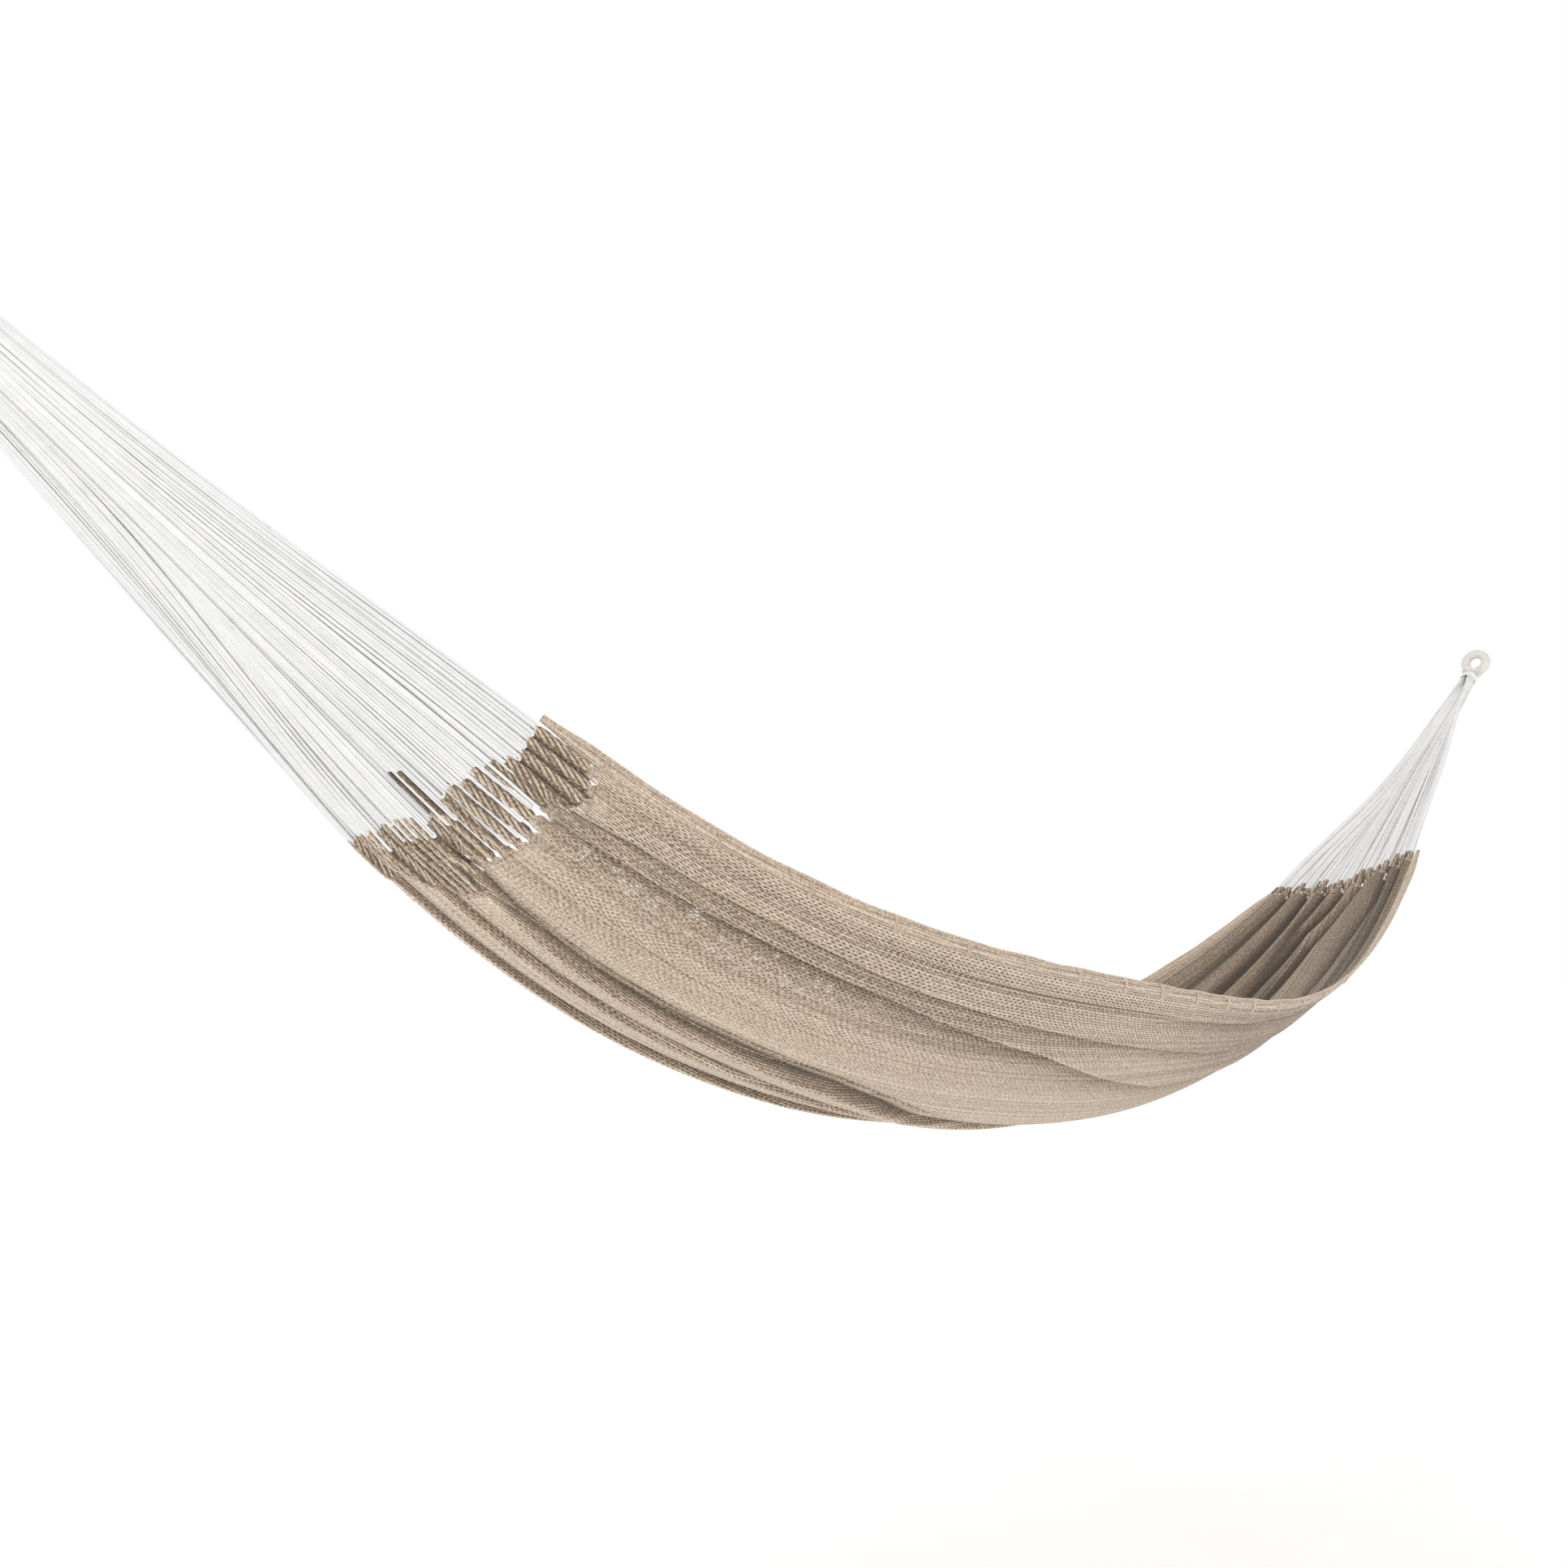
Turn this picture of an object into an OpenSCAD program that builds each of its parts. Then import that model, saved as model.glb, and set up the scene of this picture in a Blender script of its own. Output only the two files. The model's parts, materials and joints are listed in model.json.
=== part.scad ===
// Woven rope hammock, hung empty between two hooks.
// Frame: origin at the centre of the head eye's bore, +X towards the foot eye, +Z up, millimetres.

/* [Eyes] */
// Radius of the hole that the hook goes through
bore_r = 12.5; // [11:0.5:14]
// Radius of the ring's centre line
ring_r = 21; // [20:0.5:23]
// Radius of the wrapped limb
limb_r = 9; // [8.6:0.1:9.4]
// Radius of the rope core inside the wrapping
core_r = 5.5; // [4:0.5:6]
// Lean of each eye outwards along the pull, degrees
eye_lean = 15; // [0:1:25]
// Lean of each eye to the front, degrees
eye_roll = 18; // [0:1:25]
// Distance from an eye's centre down to its neck
neck_drop = 31; // [31:0.5:33]

/* [Hanging] */
// Distance between the two necks
neck_span = 3300; // [3200:10:3400]
// Slope of the arms below level, degrees
arm_slope = 35; // [30:1:40]

/* [Neck] */
// Radius of the cord bundle at the neck
bundle_r = 13.5; // [13:0.5:15]
// Length of the whipping round the neck
whipping_len = 16; // [10:1:24]
// Wall of the whipping
whipping_wall = 2; // [1.5:0.5:3]

/* [Arms] */
// Woven end loops at each end of the bed
loops = 15; // [9:3:15]
// Diameter of an arm cord
cord_d = 2.2; // [1.6:0.1:2.2]
// Diameter of an end loop
loop_d = 6; // [4:0.5:6]
// Length of the end loops at the two edges
loop_edge_len = 15; // [10:1:20]
// Extra length of the end loops in the middle
loop_mid_len = 38; // [30:1:45]
// How much the loop lengths vary either way
loop_vary = 8; // [0:1:10]

/* [Bed] */
// Thickness of the woven bed
bed_t = 4; // [3:0.5:6]
// Shape of the cross-section at the head: under 1 is a full belly, 1 is a half ellipse, 2 is a V
head_shape = 0.6; // [0.5:0.05:1.2]
// Shape of the cross-section at the foot
foot_shape = 2; // [1:0.05:2.2]

/* [Borders] */
// Radius of the border bundle
border_r = 5; // [4:0.5:6]
// Ties along each border
ties = 19; // [5:1:21]
// Length of a tie
tie_len = 8; // [5:1:12]

/* [Hidden] */

// Control points of the three lines that shape the bed, from head to foot, measured from the
// middle of the line between the necks: the front edge, the back edge and the bottom.
front_edge = [[-970, -150, -435], [-400, -335, -845], [0, -290, -510], [320, -210, -990], [945, -150, -450]];
back_edge = [[-970, 150, -470], [-400, 335, -840], [0, 290, -860], [320, 210, -850], [983, 150, -513]];
bottom = [[-1020, 0, -535], [-400, 0, -1005], [0, 0, -760], [255, 0, -1120], [985, 0, -505]];

along = 56;               // grid steps along the bed
across = 32;              // grid steps from edge to edge
gap = 1;                  // clearance between neighbouring pieces
fine = 48;                // facets on a small round
keel_round = 0.12;        // rounding of the bottom line, as a share of the half width
step = 0.004;             // step for slopes, as a share of the bed
serving_wall = 0.3;       // clearance between core and wrapping
hitch_t = 2;              // thickness of the cords' hitch over the ring
hitch_span = 70;          // angle of the ring that the hitch covers
tie_wall = 1.6;           // wall of a border tie
border_sides = 8;
border_rings = 60;
whipping_start = 9;       // from the neck point down the arm
whipping_gap = 3.5;       // between the cord bundle and the whipping, where the cords fan out
arm_cords = 2 * loops;
layers = 3;               // of cords at the flat neck
cord_pitch = 2 * (bundle_r - cord_d / 2) / arm_cords;
layer_pitch = cord_d + 0.5;
eye_clear = 3;            // from the cords' start to the whipping
third = loops / 3;        // loops in the front, middle and back groups

// The neck hangs below the eye, and the swing axis joins the two necks.
neck = [sin(eye_lean), cos(eye_lean) * sin(eye_roll), -cos(eye_lean) * cos(eye_roll)] * neck_drop;
sling = [neck[0] + neck_span / 2, neck[1], neck[2]];
foot_eye = [2 * sling[0], 0, 0];

function unit(v) = v / norm(v);
function bezier(p, t) =
    let (s = 1 - t)
    s * s * s * s * p[0] + 4 * s * s * s * t * p[1] + 6 * s * s * t * t * p[2] + 4 * s * t * t * t * p[3]
    + t * t * t * t * p[4];
// A point of the bed's middle surface: u runs from head to foot, v from the front to the back edge.
// Each cross-section is half a superellipse from edge to edge through the bottom.
function bed(u, v) =
    let (f = bezier(front_edge, u), b = bezier(back_edge, u), k = bezier(bottom, u), m = (f + b) / 2,
        c = cos(180 * v), s = abs(sin(180 * v)), n = 2 / (head_shape + (foot_shape - head_shape) * u),
        r = pow(pow(c * c + keel_round * keel_round, n / 2) + pow(s, n), -1 / n))
    m + r * c * (f - b) / 2 + r * s * (k - m);
function inside(x) = min(1 - step, max(step, x));
function slope_u(u, v) = let (c = inside(u)) unit(bed(c + step, v) - bed(c - step, v));
function slope_v(u, v) = let (c = inside(v)) unit(bed(u, c + step) - bed(u, c - step));
function normal(u, v) = unit(cross(slope_u(u, v), slope_v(u, v)));

// End e of the bed is 0 at the head and 1 at the foot; its neck is half a span away.
function side(e) = e == 0 ? -1 : 1;
function neck_at(e) = [side(e) * neck_span / 2, 0, 0];
function arm_dir(e) = [-side(e) * cos(arm_slope), 0, -sin(arm_slope)];
function arm_down(e) = [side(e) * sin(arm_slope), 0, -cos(arm_slope)];

// The loops are spaced evenly along the end of the bed and point at the neck.
function loop_v(i) = (i + 0.5) / loops;
function loop_at(e, i) = bed(e, loop_v(i));
function loop_dir(e, i) = unit(neck_at(e) - loop_at(e, i));
function loop_length(e, i) =
    loop_edge_len + loop_mid_len * sin(180 * loop_v(i)) + loop_vary * sin(113 * i + 200 * e);
function loop_base(e, i) = loop_at(e, i) + (gap + bed_t / 2) * loop_dir(e, i);
function loop_tip(e, i) = loop_base(e, i) + loop_length(e, i) * loop_dir(e, i);

// Each loop holds a pair of cords, one on each side of its tip. The deep head end gathers them into
// a round bundle at the neck, from the top down the front and up the back. The flat foot end gathers
// them side by side in layers. Either way no two cords cross.
function round_place(k) =
    let (a = (k + 0.5) * 360 / arm_cords)
    (bundle_r - cord_d / 2) * [-sin(a), -cos(a)];
function flat_place(k) = [(k - (arm_cords - 1) / 2) * cord_pitch, (k % layers - (layers - 1) / 2) * layer_pitch];
function cord_place(e, k) = e == 0 ? round_place(k) : flat_place(k);
function cord_neck(e, k) =
    let (p = cord_place(e, k))
    neck_at(e) + whipping_start * arm_dir(e) + p[0] * [0, 1, 0] + p[1] * arm_down(e);
function cord_end(e, i, s) =
    loop_tip(e, i) - loop_d * loop_dir(e, i) + s * (loop_d / 2 + cord_d / 2 + gap / 2) * slope_v(e, loop_v(i));

// Carry children from +Z to the direction d.
module aim(at, d) {
    u = unit(d);
    translate(at) rotate([0, acos(u[2]), atan2(u[1], u[0])]) children();
}

module rod(a, b, dia) {
    aim(a, b - a) cylinder(h = norm(b - a), d = dia, $fn = fine / 2);
}

// Place a ring lying in XY at an eye, with its underside (-Y of the ring) towards the neck.
module at_eye(e) {
    translate(e == 0 ? [0, 0, 0] : foot_eye)
        mirror([e, 0, 0])
            rotate([eye_roll, 0, 0])
                rotate([0, 90 - eye_lean, 0])
                    rotate([0, 0, 90])
                        children();
}

module eye_core(e) {
    color("ivory") at_eye(e)
        rotate_extrude($fn = 2 * fine) translate([ring_r, 0]) circle(core_r, $fn = fine);
}

module eye_serving(e) {
    color("whitesmoke") at_eye(e) difference() {
        rotate_extrude($fn = 2 * fine) translate([ring_r, 0]) circle(limb_r, $fn = fine);
        rotate_extrude($fn = 2 * fine) translate([ring_r, 0]) circle(core_r + serving_wall, $fn = fine);
        cylinder(h = 4 * limb_r, r = bore_r, center = true, $fn = 2 * fine);
    }
}

// The cords' own turn over the outside of the ring, where the arm is hitched to it.
module eye_hitch(e) {
    color("white") at_eye(e) rotate([0, 0, -90 - hitch_span / 2])
        rotate_extrude(angle = hitch_span, $fn = 2 * fine) intersection() {
            difference() {
                translate([ring_r, 0]) circle(limb_r + serving_wall + hitch_t, $fn = fine);
                translate([ring_r, 0]) circle(limb_r + serving_wall, $fn = fine);
            }
            translate([ring_r - 2, -2 * limb_r]) square(4 * limb_r);
        }
}

module neck_whipping(e) {
    start = whipping_start + eye_clear;
    color("white") translate(sling) aim(neck_at(e) + start * arm_dir(e), arm_dir(e)) difference() {
        cylinder(h = whipping_len, r = bundle_r + whipping_gap + whipping_wall, $fn = 2 * fine);
        translate([0, 0, -1]) cylinder(h = whipping_len + 2, r = bundle_r + whipping_gap, $fn = 2 * fine);
    }
}

module cords(e, group) {
    color("white") translate(sling) for (i = [group * third : (group + 1) * third - 1]) {
        rod(cord_neck(e, 2 * i), cord_end(e, i, -1), cord_d);
        rod(cord_neck(e, 2 * i + 1), cord_end(e, i, 1), cord_d);
    }
}

// An end loop is a bundle of yarn with a round tip.
module end_loops(e, group) {
    color("tan") translate(sling) for (i = [group * third : (group + 1) * third - 1])
        aim(loop_base(e, i), loop_dir(e, i)) rotate_extrude($fn = fine) {
            square([loop_d / 2, loop_length(e, i)]);
            translate([0, loop_length(e, i)]) intersection() {
                circle(d = loop_d, $fn = fine);
                square(loop_d);
            }
        }
}

// One closed shell: an inner and an outer grid of points, joined round the edge.
module bed_net() {
    row = across + 1;
    layer = (along + 1) * row;
    points = [for (s = [-1, 1]) for (i = [0 : along]) for (j = [0 : across])
        bed(i / along, j / across) + s * bed_t / 2 * normal(i / along, j / across)];
    quads = concat(
        [for (i = [0 : along - 1]) for (j = [0 : across - 1])
            let (a = i * row + j) [a, a + 1, a + row + 1, a + row]],
        [for (i = [0 : along - 1]) for (j = [0 : across - 1])
            let (a = layer + i * row + j) [a, a + row, a + row + 1, a + 1]],
        [for (i = [0 : along - 1]) let (a = i * row) [a, a + row, a + row + layer, a + layer]],
        [for (i = [0 : along - 1]) let (a = i * row + across) [a, a + layer, a + row + layer, a + row]],
        [for (j = [0 : across - 1]) [j, j + layer, j + layer + 1, j + 1]],
        [for (j = [0 : across - 1]) let (a = along * row + j) [a, a + 1, a + layer + 1, a + layer]]);
    faces = [for (q = quads) each [[q[0], q[1], q[2]], [q[0], q[2], q[3]]]];
    color("tan") translate(sling) polyhedron(points, faces);
}

// The border runs just outside the edge of the net; v is 0 for the front edge and 1 for the back.
function border_off() = bed_t / 2 + gap + tie_wall + border_r;
function border_at(u, v) = bed(u, v) + (2 * v - 1) * border_off() * slope_v(u, v);
function border_dir(u, v) = let (c = inside(u)) unit(border_at(c + step, v) - border_at(c - step, v));

module border(v) {
    rings = [for (i = [0 : border_rings])
        let (u = i / border_rings, t = border_dir(u, v), a = unit(cross(t, [0, 0, 1])), b = cross(a, t))
        [for (k = [0 : border_sides - 1]) border_at(u, v)
            + border_r * (cos(360 * k / border_sides) * a + sin(360 * k / border_sides) * b)]];
    walls = [for (i = [0 : border_rings - 1]) for (k = [0 : border_sides - 1])
        let (a = i * border_sides + k, b = i * border_sides + (k + 1) % border_sides)
        each [[a, b, b + border_sides], [a, b + border_sides, a + border_sides]]];
    caps = [[for (k = [border_sides - 1 : -1 : 0]) k],
            [for (k = [0 : border_sides - 1]) border_rings * border_sides + k]];
    color("burlywood") translate(sling) polyhedron([for (r = rings) each r], concat(walls, caps));
}

module border_ties(v) {
    color("wheat") translate(sling) for (i = [0 : ties - 1]) {
        u = (i + 0.5) / ties;
        aim(border_at(u, v) - tie_len / 2 * border_dir(u, v), border_dir(u, v)) difference() {
            cylinder(h = tie_len, r = border_r + tie_wall, $fn = fine);
            translate([0, 0, -1]) cylinder(h = tie_len + 2, r = border_r + 0.3, $fn = fine);
        }
    }
}

eye_core(0);  // head_eye_core
eye_serving(0);  // head_eye_serving
eye_hitch(0);  // head_eye_hitch
neck_whipping(0);  // head_neck_whipping
cords(0, 0);  // head_cords_front
cords(0, 1);  // head_cords_middle
cords(0, 2);  // head_cords_back
end_loops(0, 0);  // head_loops_front
end_loops(0, 1);  // head_loops_middle
end_loops(0, 2);  // head_loops_back
bed_net();
border(0);  // border_front
border(1);  // border_back
border_ties(0);  // ties_front
border_ties(1);  // ties_back
end_loops(1, 0);  // foot_loops_front
end_loops(1, 1);  // foot_loops_middle
end_loops(1, 2);  // foot_loops_back
cords(1, 0);  // foot_cords_front
cords(1, 1);  // foot_cords_middle
cords(1, 2);  // foot_cords_back
neck_whipping(1);  // foot_neck_whipping
eye_hitch(1);  // foot_eye_hitch
eye_serving(1);  // foot_eye_serving
eye_core(1);  // foot_eye_core
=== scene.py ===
import json
import math

import bpy
import numpy as np
from mathutils import Euler, Matrix, Vector


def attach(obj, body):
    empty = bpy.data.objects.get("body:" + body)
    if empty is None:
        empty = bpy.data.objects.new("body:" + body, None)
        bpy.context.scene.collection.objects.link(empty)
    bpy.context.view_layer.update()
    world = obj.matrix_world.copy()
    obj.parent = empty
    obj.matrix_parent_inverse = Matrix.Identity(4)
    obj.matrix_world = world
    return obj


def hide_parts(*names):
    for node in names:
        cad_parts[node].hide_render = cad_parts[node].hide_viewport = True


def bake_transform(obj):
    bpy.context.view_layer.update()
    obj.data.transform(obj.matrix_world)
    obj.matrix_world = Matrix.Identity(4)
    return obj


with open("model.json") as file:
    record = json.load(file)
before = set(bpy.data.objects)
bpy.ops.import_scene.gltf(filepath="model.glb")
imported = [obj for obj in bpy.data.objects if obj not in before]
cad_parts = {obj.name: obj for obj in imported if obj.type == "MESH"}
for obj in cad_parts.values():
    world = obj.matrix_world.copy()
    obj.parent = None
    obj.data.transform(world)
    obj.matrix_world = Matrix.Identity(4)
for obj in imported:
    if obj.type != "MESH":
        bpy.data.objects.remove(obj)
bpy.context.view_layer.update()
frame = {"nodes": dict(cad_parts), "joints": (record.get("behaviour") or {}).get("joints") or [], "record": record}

# ---------------------------------------------------------------------------------------------
# Places, in metres in the row frame. The hinges of the swing pass through the two necks.
# ---------------------------------------------------------------------------------------------
JOINTS = {j["name"]: np.array(j["pos_m"]) for j in frame["joints"]}
MOUNTS = {m["name"]: np.array(m["pos_m"]) for m in frame["record"]["mounts"]}
HEAD, FOOT = 0, 1
ENDS = ("head", "foot")
NECKS = (JOINTS["swing"], JOINTS["foot_turn"])
EYES = (MOUNTS["head_hook"], MOUNTS["foot_hook"])
SLING = (NECKS[HEAD] + NECKS[FOOT]) / 2
MM = 0.001

# The camera stands in front of the head end, low, and looks along the bed to the foot eye.
CAMERA_PLACE = SLING + np.array([-1.730, -1.2755, -0.6623])
CAMERA_TILT = math.radians(90 + 7.23)
CAMERA_TURN = math.radians(-43.71)
CAMERA_LENS = 33.47
SENSOR = 36.0

# The three lines that shape the bed, measured from the middle of the line between the necks, as
# in the CAD model, in millimetres: the front edge, the back edge and the bottom.
FRONT_EDGE = [[-970, -150, -435], [-400, -335, -845], [0, -290, -510], [320, -210, -990],
              [945, -150, -450]]
BACK_EDGE = [[-970, 150, -470], [-400, 335, -840], [0, 290, -860], [320, 210, -850], [983, 150, -513]]
BOTTOM = [[-1020, 0, -535], [-400, 0, -1005], [0, 0, -760], [255, 0, -1120], [985, 0, -505]]
HEAD_SHAPE, FOOT_SHAPE = 0.6, 2.0
KEEL_ROUND = 0.12
ARM_SLOPE = math.radians(35)

FINGERS = 35              # bunches of yarn along each end
PER_FINGER = 6            # yarns in a bunch
YARNS = FINGERS * PER_FINGER
LEGS = 236                # meshes of the net along the bed
WEAVE = 0.45 * MM         # how far a yarn passes over or under its neighbour
GRID = 1400               # steps across the cloth in the lookup table
DENSE = 900               # steps across a bare section before it is folded
FINE, COARSE = 800, 80    # steps along and across that the bed's length is measured with

# Creases: the cloth on one side, the lip, stands out over the cloth on the other side, the tuck. Each
# has its course, as rows of a place along the bed (0 head, 1 foot), a place across the cloth (0 front
# edge, 1 back edge) and a depth in millimetres. Its form is the share of the depth in the lip, in the
# tuck and in the sideways overlap, and how far the lip and the tuck fade out, as shares of the cloth's
# width. The lip lies towards the front edge, or towards the back edge where the last number is -1.
STEP_FORM = (0.50, 0.62, 0.30, 0.030, 0.055)
NOTCH_FORM = (0.20, 0.80, 0.25, 0.030, 0.018)
ROLL_FORM = (0.55, 0.60, 0.15, 0.055, 0.030)
CREASES = [
    ([(0, 0.03, 0), (0.06, 0.03, 6), (0.3, 0.035, 8), (0.5, 0.035, 7), (0.7, 0.03, 6),
      (1, 0.03, 0)], NOTCH_FORM, 1),
    ([(0, 0.125, 12), (0.05, 0.085, 16), (0.12, 0.074, 16), (0.25, 0.09, 16), (0.4, 0.116, 16),
      (0.6, 0.14, 15), (0.8, 0.15, 10), (1, 0.14, 3)], NOTCH_FORM, 1),
    ([(0, 0.15, 12), (0.05, 0.125, 18), (0.12, 0.108, 22), (0.2, 0.115, 24), (0.35, 0.16, 24),
      (0.45, 0.22, 20), (0.56, 0.27, 14), (0.7, 0.26, 8), (0.85, 0.24, 0)], STEP_FORM, 1),
    ([(0.42, 0.06, 0), (0.5, 0.048, 9), (0.6, 0.048, 10), (0.7, 0.03, 0)], NOTCH_FORM, 1),
    ([(0, 0.28, 12), (0.06, 0.27, 8), (0.12, 0.26, 0)], NOTCH_FORM, 1),
    ([(0, 0.38, 14), (0.04, 0.435, 20), (0.08, 0.457, 24), (0.17, 0.44, 26), (0.25, 0.455, 28),
      (0.31, 0.495, 26), (0.36, 0.55, 20), (0.5, 0.6, 10), (0.6, 0.62, 0)], ROLL_FORM, -1),
    ([(0.02, 0.40, 0), (0.08, 0.425, 8), (0.17, 0.41, 9), (0.25, 0.42, 9), (0.33, 0.47, 7),
      (0.42, 0.54, 0)], NOTCH_FORM, -1),
    ([(0, 0.50, 12), (0.05, 0.52, 8), (0.1, 0.53, 0)], NOTCH_FORM, 1),
    ([(0, 0.57, 10), (0.05, 0.575, 12), (0.1, 0.565, 13), (0.2, 0.55, 12), (0.3, 0.58, 8),
      (0.4, 0.63, 0)], ROLL_FORM, -1),
    ([(0, 0.72, 10), (0.1, 0.74, 16), (0.3, 0.70, 18), (0.5, 0.72, 14), (0.7, 0.70, 6),
      (0.85, 0.72, 0)], STEP_FORM, -1),
    ([(0, 0.82, 9), (0.1, 0.84, 16), (0.3, 0.83, 20), (0.5, 0.80, 20), (0.7, 0.80, 12),
      (0.85, 0.82, 0)], STEP_FORM, -1),
    ([(0, 0.90, 8), (0.1, 0.91, 14), (0.3, 0.92, 15), (0.6, 0.90, 14), (0.8, 0.88, 6),
      (1, 0.88, 0)], NOTCH_FORM, -1),
    ([(0, 0.97, 0), (0.1, 0.965, 6), (0.4, 0.965, 8), (0.7, 0.965, 7), (1, 0.97, 0)], NOTCH_FORM, -1),
]
CREASE_HALF = 0.007       # half the width of the turn itself, as a share of the cloth's width
CREASE_DEEP = 22 * MM     # the depth at which a crease is as closed in as it gets
RIM_HOLD = 0.03           # how near the edges hold the cloth still
# Valleys between the round pleats at the foot: the cloth stands out there, away from the trough.
VALLEYS = [
    [(0.80, 0.12, 0), (0.88, 0.10, 12), (1, 0.08, 20)],
    [(0.78, 0.32, 0), (0.86, 0.30, 12), (0.92, 0.25, 20), (0.96, 0.185, 26), (1, 0.19, 28)],
    [(0.72, 0.52, 0), (0.80, 0.55, 12), (0.88, 0.56, 20), (0.94, 0.53, 26), (0.985, 0.40, 28),
     (1, 0.32, 28)],
    [(0.66, 0.62, 0), (0.80, 0.64, 18), (0.90, 0.638, 24), (0.955, 0.62, 28), (1, 0.50, 28)],
    [(0.90, 0.66, 0), (0.96, 0.68, 14), (1, 0.635, 22)],
    [(0.62, 0.75, 0), (0.76, 0.755, 14), (0.88, 0.757, 22), (1, 0.76, 26)],
    [(0.74, 0.86, 0), (0.86, 0.87, 12), (1, 0.88, 18)],
]
VALLEY_FADE, VALLEY_ROUND, VALLEY_LEVEL = 0.024, 0.005, 0.055
# How the shade in the folds is laid on: how far it reaches, as shares of the fades above with a little
# more, how much darker a valley is than a crease, and the most that counts.
CREASE_SHADE_REACH, CREASE_SHADE_MORE = 0.65, 0.004
VALLEY_SHADE_REACH, VALLEY_SHADE = 0.5, 2.6
DARKEST = 1.2
TURN_EDGE, TURN_SPREAD = 0.4, 1.6   # how sharp a crease's turn is and how wide its overlap is


# ---------------------------------------------------------------------------------------------
# Small numbers
# ---------------------------------------------------------------------------------------------
def smooth(t):
    t = np.clip(t, 0, 1)
    return t * t * (3 - 2 * t)


def unit(v):
    v = np.asarray(v, float)
    return v / np.maximum(np.linalg.norm(v, axis=-1, keepdims=True), 1e-12)


def ripple(*angles):
    """A slow, repeatable unevenness between -1 and 1 from a few angles."""
    total = sum(np.sin(a * k + k) for k, a in enumerate(angles, 1))
    return total / len(angles)


def bezier(points, t):
    p = np.asarray(points, float) * MM
    t = np.asarray(t, float)[..., None]
    s = 1 - t
    return s**4 * p[0] + 4 * s**3 * t * p[1] + 6 * s * s * t * t * p[2] + 4 * s * t**3 * p[3] + t**4 * p[4]


def bed(u, v):
    """The bed's middle surface, as in the CAD model: u from head to foot, v from front to back."""
    u, v = np.broadcast_arrays(np.asarray(u, float), np.asarray(v, float))
    front, back, low = bezier(FRONT_EDGE, u), bezier(BACK_EDGE, u), bezier(BOTTOM, u)
    middle = (front + back) / 2
    c, s = np.cos(np.pi * v), np.abs(np.sin(np.pi * v))
    n = 2 / (HEAD_SHAPE + (FOOT_SHAPE - HEAD_SHAPE) * u)
    r = ((c * c + KEEL_ROUND**2) ** (n / 2) + s**n) ** (-1 / n)
    return SLING + middle + (r * c)[..., None] * (front - back) / 2 + (r * s)[..., None] * (low - middle)


def arm_dir(end):
    """From the neck down the arm."""
    side = -1 if end == HEAD else 1
    return np.array([-side * math.cos(ARM_SLOPE), 0, -math.sin(ARM_SLOPE)])


# ---------------------------------------------------------------------------------------------
# The hung cloth: the bed's shape with its folds, laid out by distance along and share across
# ---------------------------------------------------------------------------------------------
def along_rows(rows, u):
    """A crease's place across the cloth and its height in metres, at each station u."""
    stations, places, heights = zip(*rows)
    place = np.interp(u, stations, places)
    height = np.interp(u, stations, heights) * MM
    return place[:, None], height[:, None] * (u >= stations[0])[:, None] * (u <= stations[-1])[:, None]


def folds(u, w):
    """How far the folds move the cloth outwards, and sideways towards the back edge, and how closed
    in it is there, from 0 to about 1, which sets the painted shade in the folds."""
    out, lap, hidden = np.zeros_like(w), np.zeros_like(w), np.zeros_like(w)
    for rows, (lip_share, tuck_share, lap_share, lip_fade, tuck_fade), side in CREASES:
        place, height = along_rows(rows, u)
        t = (w - place) * side
        under = 1 / (1 + np.exp(-np.clip(t / (TURN_EDGE * CREASE_HALF), -40, 40)))
        lip = lip_share * np.exp(np.minimum(t, 0) / lip_fade) * (1 - under)
        tuck = tuck_share * np.exp(-np.maximum(t, 0) / tuck_fade) * under
        out += height * (lip - tuck)
        over = np.exp(-(((t + CREASE_HALF) / (TURN_SPREAD * CREASE_HALF)) ** 2))
        below = np.exp(-(((t - CREASE_HALF) / (TURN_SPREAD * CREASE_HALF)) ** 2))
        lap += side * lap_share * height * (over - below)
        shade_fade = CREASE_SHADE_REACH * tuck_fade + CREASE_SHADE_MORE
        hidden += height / CREASE_DEEP * under * np.exp(-np.maximum(t, 0) / shade_fade)
    for rows in VALLEYS:
        place, height = along_rows(rows, u)
        t = np.sqrt((w - place) ** 2 + VALLEY_ROUND**2) - VALLEY_ROUND
        out += height * (np.exp(-t / VALLEY_FADE) - VALLEY_LEVEL)
        hidden += VALLEY_SHADE * height / CREASE_DEEP * np.exp(-t / (VALLEY_SHADE_REACH * VALLEY_FADE))
    held = smooth(w / RIM_HOLD) * smooth((1 - w) / RIM_HOLD)
    return out * held, lap * held, hidden


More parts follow.
